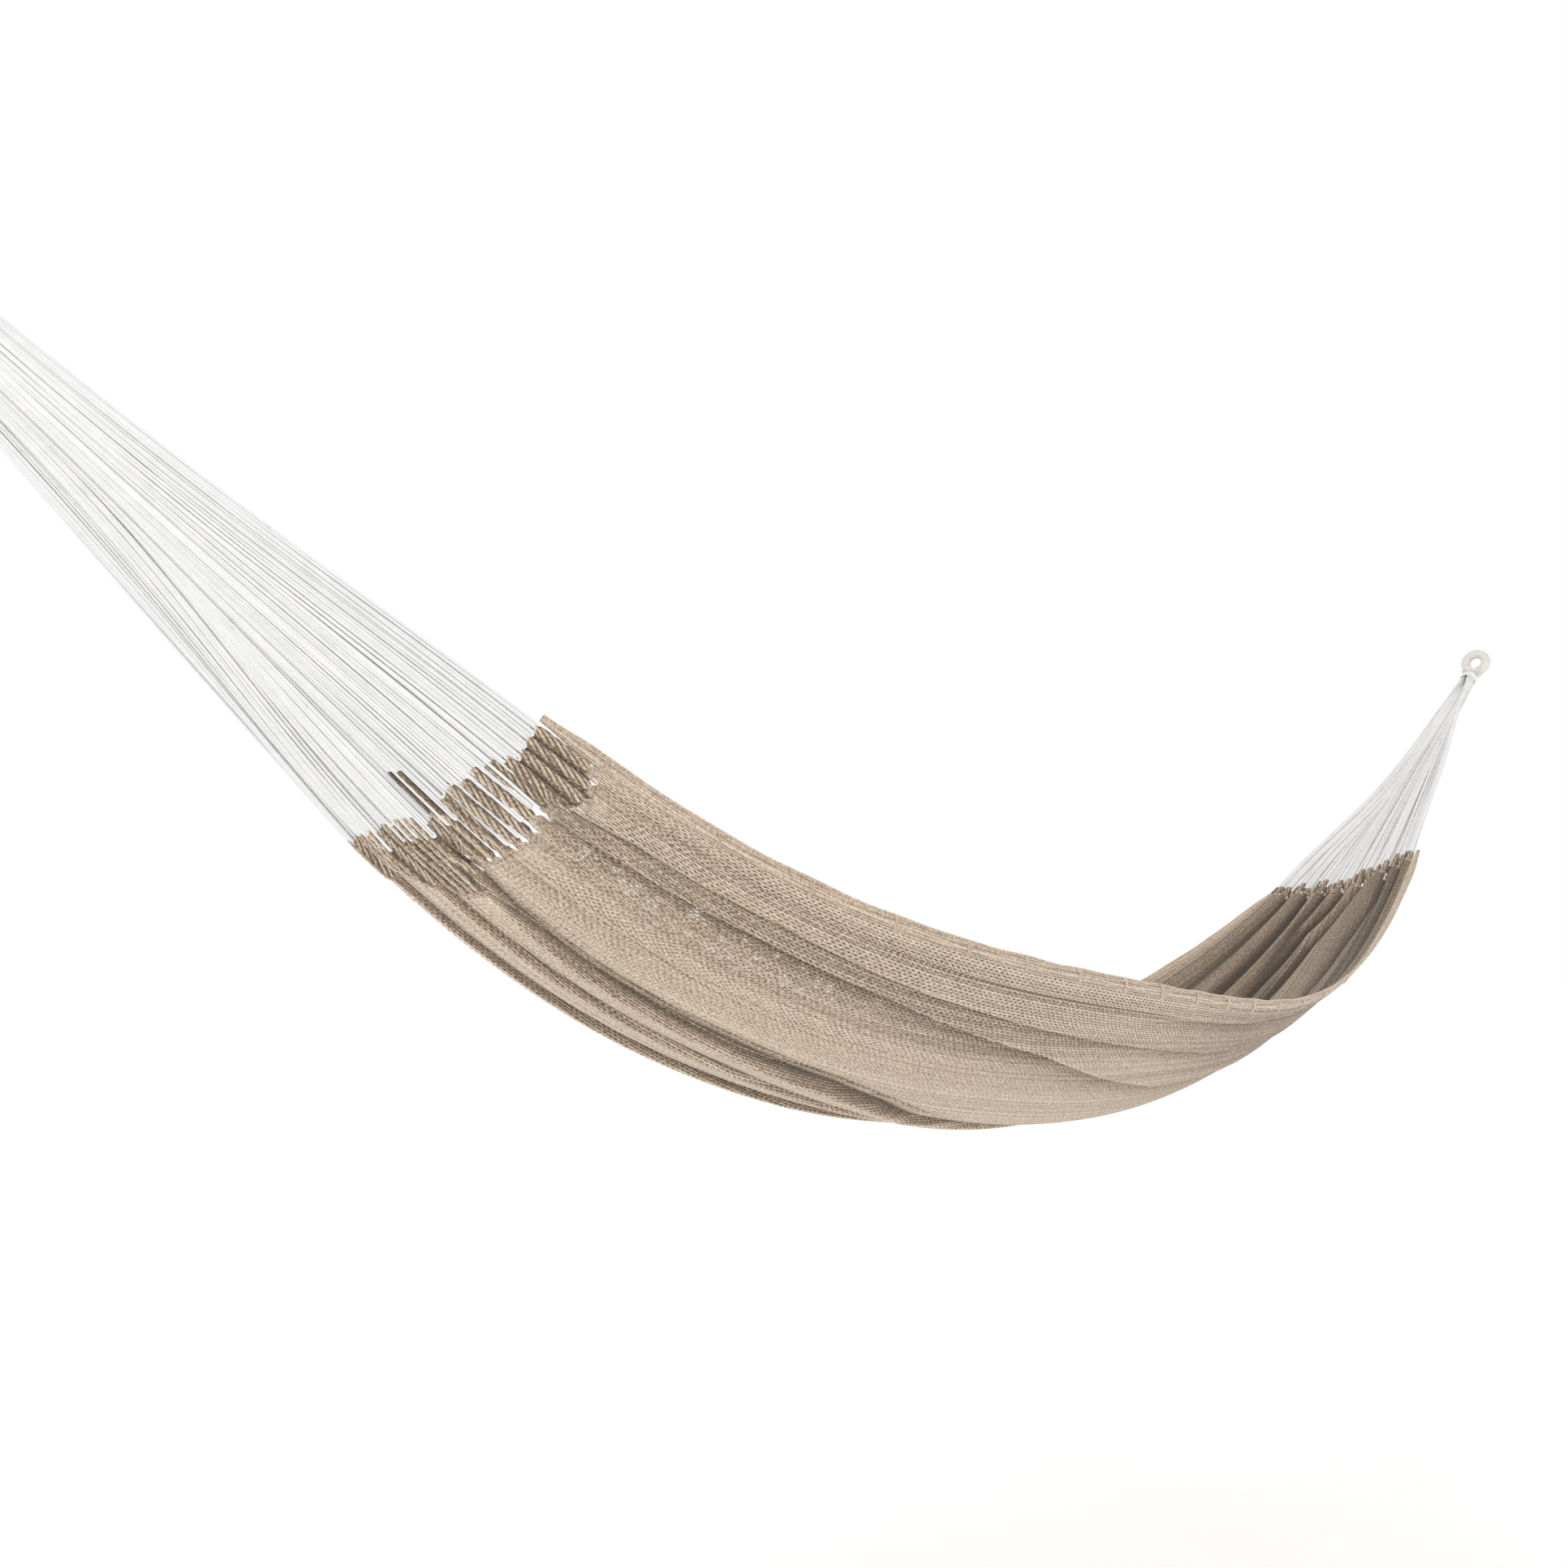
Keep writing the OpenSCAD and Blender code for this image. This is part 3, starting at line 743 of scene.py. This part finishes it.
def arm_leg(end, bed_point, w, rng):
    """A cord from the neck to a point at the bed. The cords lie in a few layers round the arm, which
    swells a little here and there, and each wanders a little of its own."""
    around = 2 * np.pi * w
    radial = -math.sin(around) * np.array([0, 1, 0]) - math.cos(around) * arm_down(end)
    start = NECKS[end] + ARM_END * arm_dir(end) + NECK_BUNDLE[end] * rng.uniform(0.3, 1) * radial
    t = np.linspace(0, 1, LEG_POINTS)[:, None]
    line = start + (bed_point - start) * t
    hang = np.sin(np.pi * t ** 1.2)
    swell = ARM_SWELL * ripple(37 * w + 2 * end, 61 * w + 1) - ARM_LAYERS * rng.uniform(0, 1)
    waist = np.interp(w, *zip(*ARM_WAIST[end])) * MM * np.sin(np.pi * t) ** 2
    own = rng.normal(0, OWN_WANDER, 3)
    slack = rng.normal(0, OWN_WANDER, 3)
    return line + hang * (swell * radial + own) - waist * radial + np.sin(2 * np.pi * t) * slack


def hairpin(end, centre, reach, turn_to, half, w, rng):
    """A cord down from the neck, round a bight whose bottom lies at the centre, and back up."""
    away = unit(NECKS[end] - centre)
    legs = [centre + sign * half * turn_to + (half + reach) * away for sign in (-1, 1)]
    backwards = cloth(0, w + 0.01)[0] - cloth(0, w - 0.01)[0]
    spread = np.array([-1, 1]) * LEG_SPREAD / FINGERS * np.sign(turn_to @ backwards)
    down, up = (arm_leg(end, leg, w + s, rng) for leg, s in zip(legs, spread))
    middle = centre + half * away
    bight = middle - np.cos(BIGHT) * half * turn_to - np.sin(BIGHT) * half * away
    return np.vstack([down, bight, up[::-1]])


def make_arm(end, tips):
    rng = np.random.default_rng(21 + end)
    thin = np.linspace(CORD_AT_NECK, CORD_AT_BED, LEG_POINTS)
    radius = np.concatenate([thin, np.full(len(BIGHT), CORD_AT_BED), thin[::-1]])
    strands = [Strands() for _ in THIRDS]
    for third, (_, low, high) in zip(strands, THIRDS):
        for f in range(low, high):
            tip, side, out, pull = tips[f]
            for offset in (-1, 0, 1):
                centre = tip - 4 * MM * pull + BIGHT_AT_TIP * offset * side
                through = unit(out + offset * rng.uniform(0.3, 1.2) * side)
                place = (f + 0.5 + 0.25 * offset) / FINGERS
                path = hairpin(end, centre, 2 * MM, through, BIGHT_AT_TIP, place, rng)
                thick = radius * rng.uniform(*CORD_SPREAD)
                # painted light on the foot arm's cords, with a random tone for each cord
                tone = ARM_LIGHT_TONE[end] + rng.normal(0, TONE_SPREAD)
                third.add(path, thick, side, sides=6, tone=tone)
            if f + 1 < FINGERS:
                slot = min(SIZES[end][0][f], SIZES[end][0][f + 1])
                edge = (f + 1) / FINGERS
                deep = end == HEAD and DEEP_SLOTS[0] < edge < DEEP_SLOTS[1]
                depth = slot * rng.uniform(0.75, 0.95) if deep else rng.uniform(1, 9) * MM
                at, lateral, face = cloth(depth if end == HEAD else LENGTH - depth, edge)
                path = hairpin(end, at + MM * face, 0.0, lateral, BIGHT_IN_SLOT, edge, rng)
                thick = radius * rng.uniform(*CORD_SPREAD)
                # painted light on the foot arm's cords, with a random tone for each cord
                tone = ARM_LIGHT_TONE[end] + rng.normal(0, TONE_SPREAD)
                third.add(path, thick, face, sides=6, tone=tone)
    pieces = []
    for third, (group, _, _) in zip(strands, THIRDS):
        piece = third.make(f"{ENDS[end]}_arm_{group}")
        pieces.append(dress(piece, "arm_cord", "sling", f"{ENDS[end]}_cords_{group}"))
    return pieces


# ---------------------------------------------------------------------------------------------
# Borders and their ties
# ---------------------------------------------------------------------------------------------
TIES = 19
BORDER_OFF = 7.4 * MM
BORDER_COLUMNS, COLUMN_PITCH, LAYER_PITCH = 7, 2.25 * MM, 1.9 * MM
BORDER_CORD, BORDER_TAPER = 1.2 * MM, 0.02
BORDER_PINCH = 0.4 * MM   # how far the ties draw a border's cords in
BORDER_WAVE, BORDER_WAVES = 0.35 * MM, 13
BORDER_STEPS, EDGE_HOP = 260, 0.004
TIE_TURNS, TIE_WIDE, TIE_HIGH, TIE_OFF = 3, 9.3 * MM, 2.9 * MM, 5.6 * MM
TIE_PITCH, TIE_CORD = 1.9 * MM, 0.7 * MM


def border_line(v):
    """The border's middle line, its sideways direction away from the net, and outward."""
    u = np.linspace(0, 1, BORDER_STEPS + 1)
    at = bed(u, v)
    inner = bed(u, abs(v - EDGE_HOP))
    away = unit(at - inner)
    along = unit(np.gradient(at, axis=0))
    away = unit(away - (away * along).sum(-1, keepdims=True) * along)
    out = unit(np.cross(along, away)) * (1 if v == 0 else -1)
    return u, at, away, along, out


def make_border(v, name):
    rng = np.random.default_rng(31 + v)
    u, at, away, _, out = border_line(v)
    strands = Strands()
    slack = np.sin(np.pi * TIES * u) ** 2
    ends = smooth(u / BORDER_TAPER) * smooth((1 - u) / BORDER_TAPER)
    for c in range(2 * BORDER_COLUMNS):
        column, layer = c // 2, c % 2
        spread = (0.45 + 0.55 * ends) * (0.93 + 0.07 * slack)
        sideways = (column + 0.5 * layer - (BORDER_COLUMNS - 0.5) / 2) * COLUMN_PITCH * spread
        proud = (layer - 0.5) * LAYER_PITCH
        wave = BORDER_WAVE * np.sin(2 * np.pi * (u * BORDER_WAVES + rng.uniform(0, 1)))
        off = BORDER_OFF - BORDER_PINCH * (1 - slack) + sideways + wave
        path = at + off[:, None] * away + proud * out
        strands.add(path, BORDER_CORD * (0.6 + 0.4 * ends), out, sides=6, tone=rng.normal(0, 0.7))
    piece = strands.make(f"border_{name}_cords")
    return dress(piece, "border_yarn", "sling", f"border_{name}")


def make_ties(v, name):
    u, at, away, along, out = border_line(v)
    strands = Strands()
    for i in range(TIES):
        k = int(round((i + 0.5) / TIES * (len(u) - 1)))
        t = np.linspace(0, 1, TIE_TURNS * 20 + 1)
        angle = 2 * np.pi * TIE_TURNS * t
        middle = at[k] + TIE_OFF * away[k]
        path = middle + (TIE_WIDE * np.cos(angle))[:, None] * away[k]
        path = path + (TIE_HIGH * np.sin(angle))[:, None] * out[k]
        path = path + ((t - 0.5) * TIE_TURNS * TIE_PITCH)[:, None] * along[k]
        strands.add(path, TIE_CORD, along[k], sides=6, tone=0.0)
    piece = strands.make(f"ties_{name}_yarn")
    return dress(piece, "tie_yarn", "sling", f"ties_{name}")


# ---------------------------------------------------------------------------------------------
# Necks and eyes
# ---------------------------------------------------------------------------------------------
RING, LIMB = 21.5 * MM, 10 * MM
RING_DROP = 0.22          # how far the ring is drawn out towards the neck, as a share of its radius
WRAP_TURNS, WRAP_STEPS, WRAP_CORD = 72, 18, 0.9 * MM
EYE_LEAN, EYE_ROLL = math.radians(15), math.radians(18)


def eye_frame(end):
    """Carries points of a ring lying in XY, underside at -Y, to its place, as in the CAD model."""
    lean = Matrix.Rotation(math.pi / 2 - EYE_LEAN, 4, "Y") @ Matrix.Rotation(math.pi / 2, 4, "Z")
    rolled = Matrix.Rotation(EYE_ROLL, 4, "X") @ lean
    flip = Matrix.Scale(-1, 4, (1, 0, 0)) if end == FOOT else Matrix.Identity(4)
    return np.array(Matrix.Translation(Vector(EYES[end])) @ flip @ rolled)


def carried(matrix, points):
    return np.asarray(points) @ matrix[:3, :3].T + matrix[:3, 3]


def ring_line(theta):
    """The ring's middle line, drawn out to a drop towards the neck, at -Y."""
    towards = np.clip(-np.sin(theta), 0, 1)
    r = RING * (1 + RING_DROP * towards**5)
    return np.stack([r * np.cos(theta), r * np.sin(theta), 0 * theta], axis=-1)


def make_eye(end):
    matrix = eye_frame(end)
    strands = Strands()
    theta = np.linspace(0, 2 * np.pi, 97)[:-1]
    core = carried(matrix, ring_line(theta))
    strands.add(core, LIMB - WRAP_CORD / 2, unit(matrix[:3, 2]), sides=24, closed=True)
    s = np.arange(WRAP_TURNS * WRAP_STEPS) / (WRAP_TURNS * WRAP_STEPS)
    theta, angle = 2 * np.pi * s, 2 * np.pi * WRAP_TURNS * s
    centre = ring_line(theta)
    radial = unit(centre)
    axis = np.array([0.0, 0, 1])
    wound = np.cos(angle)[:, None] * radial + np.sin(angle)[:, None] * axis
    path = centre + (LIMB - WRAP_CORD - 0.05 * MM) * wound
    strands.add(carried(matrix, path), WRAP_CORD, wound @ matrix[:3, :3].T, sides=6, closed=True)
    piece = strands.make(f"{ENDS[end]}_eye_wrap")
    return dress(piece, "eye_wrap", f"{ENDS[end]}_eye", f"{ENDS[end]}_eye_serving")


HITCH_CORDS = 13
HITCH_REACH = math.radians(34)
NECK_CORD, NECK_SPOT = 1.1 * MM, 12 * MM   # radius of a cord, and of the bundle it runs into


def make_neck(end):
    """The arm's cords turn over the ring, and run down through the neck into the whipping."""
    matrix = eye_frame(end)
    over, down = Strands(), Strands()
    along = arm_dir(end)
    for c in range(HITCH_CORDS):
        share = c / (HITCH_CORDS - 1) * 2 - 1
        theta = -math.pi / 2 + share * HITCH_REACH
        centre = ring_line(np.array([theta]))[0]
        radial = unit(centre)
        angle = np.radians(np.linspace(-78, 258, 25))
        round_limb = np.cos(angle)[:, None] * np.array([0, 0, 1.0]) - np.sin(angle)[:, None] * radial
        loop = carried(matrix, centre + (LIMB + NECK_CORD + 0.05 * MM) * round_limb)
        over.add(loop, NECK_CORD, unit(matrix[:3, :3] @ np.array([-radial[1], radial[0], 0])), sides=6)
        for tail in (loop[0], loop[-1]):
            turn = math.atan2(tail[1] - NECKS[end][1], 1e-3) + share
            low = NECKS[end] + (WHIPPING_START + 6 * MM) * along
            sideways = 0.8 * share * np.array([0, 1.0, 0])
            upright = 0.5 * math.sin(turn) * np.cross(along, [0, 1, 0])
            to = low + NECK_SPOT * (sideways + upright)
            t = smooth(np.linspace(0, 1, 10))[:, None]
            down.add(tail + (to - tail) * t, NECK_CORD, [0, 1, 0.2], sides=6)
    hitch = over.make(f"{ENDS[end]}_hitch_turns")
    dress(hitch, "whipping_cord", f"{ENDS[end]}_eye", f"{ENDS[end]}_eye_hitch")
    neck = down.make(f"{ENDS[end]}_neck_cords")
    neck.data.materials.append(MATERIALS["whipping_cord"])
    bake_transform(neck)
    return hitch, neck


WHIPPING_TURNS, WHIPPING_LENGTH, WHIPPING_CORD = 8, 16 * MM, 1.15 * MM
WHIPPING_RADIUS, WHIPPING_SWELL = 15.6 * MM, 1.0 * MM


def make_whipping(end):
    along = arm_dir(end)
    across = np.array([0, 1.0, 0])
    up = np.cross(along, across)
    t = np.linspace(0, 1, WHIPPING_TURNS * 36 + 1)
    angle = 2 * np.pi * WHIPPING_TURNS * t
    barrel = WHIPPING_RADIUS + WHIPPING_SWELL * np.sin(np.pi * t)
    radial = np.cos(angle)[:, None] * across + np.sin(angle)[:, None] * up
    path = NECKS[end] + (WHIPPING_START + t * WHIPPING_LENGTH)[:, None] * along + barrel[:, None] * radial
    strands = Strands()
    strands.add(path, WHIPPING_CORD, radial, sides=8)
    piece = strands.make(f"{ENDS[end]}_whipping")
    return dress(piece, "whipping_cord", "sling", f"{ENDS[end]}_neck_whipping")


# ---------------------------------------------------------------------------------------------
# Stage
# ---------------------------------------------------------------------------------------------
STUDIO_LIGHT, STUDIO_WHITE = 0.86, 1.0
KEY_PLACE, KEY_SIZE, KEY_POWER = (-10.0, -6.5, 3.0), 6.0, 460
FLOOR_Z, FLOOR_HALF, FLOOR_GLOW = -1.62, 80.0, 0.22


def make_camera():
    data = bpy.data.cameras.new("camera")
    data.lens = CAMERA_LENS
    data.sensor_width = SENSOR
    data.clip_end = 100
    camera = bpy.data.objects.new("camera", data)
    bpy.context.scene.collection.objects.link(camera)
    camera.location = CAMERA_PLACE
    camera.rotation_euler = Euler((CAMERA_TILT, 0, CAMERA_TURN))
    bpy.context.scene.camera = camera


def make_light(name, place, aim, size, power):
    data = bpy.data.lights.new(name, "AREA")
    data.shape = "DISK"
    data.size = size
    data.energy = power
    lamp = bpy.data.objects.new(name, data)
    bpy.context.scene.collection.objects.link(lamp)
    lamp.location = place
    lamp.rotation_mode = "QUATERNION"
    lamp.rotation_quaternion = (Vector(place) - Vector(aim)).to_track_quat("Z", "Y")


def make_stage():
    scene = bpy.context.scene
    scene.view_settings.view_transform = "Standard"
    world = bpy.data.worlds.new("studio")
    world.use_nodes = True
    tree = world.node_tree
    background = tree.nodes["Background"]
    background.inputs["Color"].default_value = (1, 1, 1, 1)
    seen = tree.nodes.new("ShaderNodeLightPath").outputs["Is Camera Ray"]
    strength = tree.nodes.new("ShaderNodeMapRange")
    strength.inputs["To Min"].default_value = STUDIO_LIGHT
    strength.inputs["To Max"].default_value = STUDIO_WHITE
    tree.links.new(seen, strength.inputs["Value"])
    tree.links.new(strength.outputs["Result"], background.inputs["Strength"])
    scene.world = world
    floor = Nodes("floor")
    place = floor.node("ShaderNodeTexCoord").outputs["Object"]
    grain = floor.ramp(floor.noise(place, 4.0), [(0.3, (0.90, 0.90, 0.90)), (0.7, (0.92, 0.92, 0.92))])
    floor.link(grain, floor.shader.inputs["Base Color"])
    floor.shader.inputs["Roughness"].default_value = 0.9
    floor.shader.inputs["Emission Color"].default_value = (1, 1, 1, 1)
    floor.shader.inputs["Emission Strength"].default_value = FLOOR_GLOW
    corners = np.array([[-1, -1, 0], [1, -1, 0], [1, 1, 0], [-1, 1, 0]]) * FLOOR_HALF
    ground = mesh_object("studio_floor", corners + [0, 0, FLOOR_Z], np.arange(4), np.array([0]))
    ground.data.materials.append(floor.material)
    middle = tuple(SLING + np.array([0, 0, -0.6]))
    make_light("key", KEY_PLACE, middle, KEY_SIZE, KEY_POWER)


def main():
    make_camera()
    make_stage()
    panels, tones = make_net()
    ground = make_ground()
    riders = []
    for end in (HEAD, FOOT):
        loops, tips = make_fingers(end, tones)
        arms = make_arm(end, tips)
        riders += loops + arms
        make_eye(end)
        make_neck(end)
        make_whipping(end)
    borders = [make_border(0, "front"), make_border(1, "back")]
    ties = [make_ties(0, "front"), make_ties(1, "back")]
    for core in ("head_eye_core", "foot_eye_core"):
        slots = frame["nodes"][core].data.materials
        slots.clear()
        slots.append(MATERIALS["rope_core"])


main()
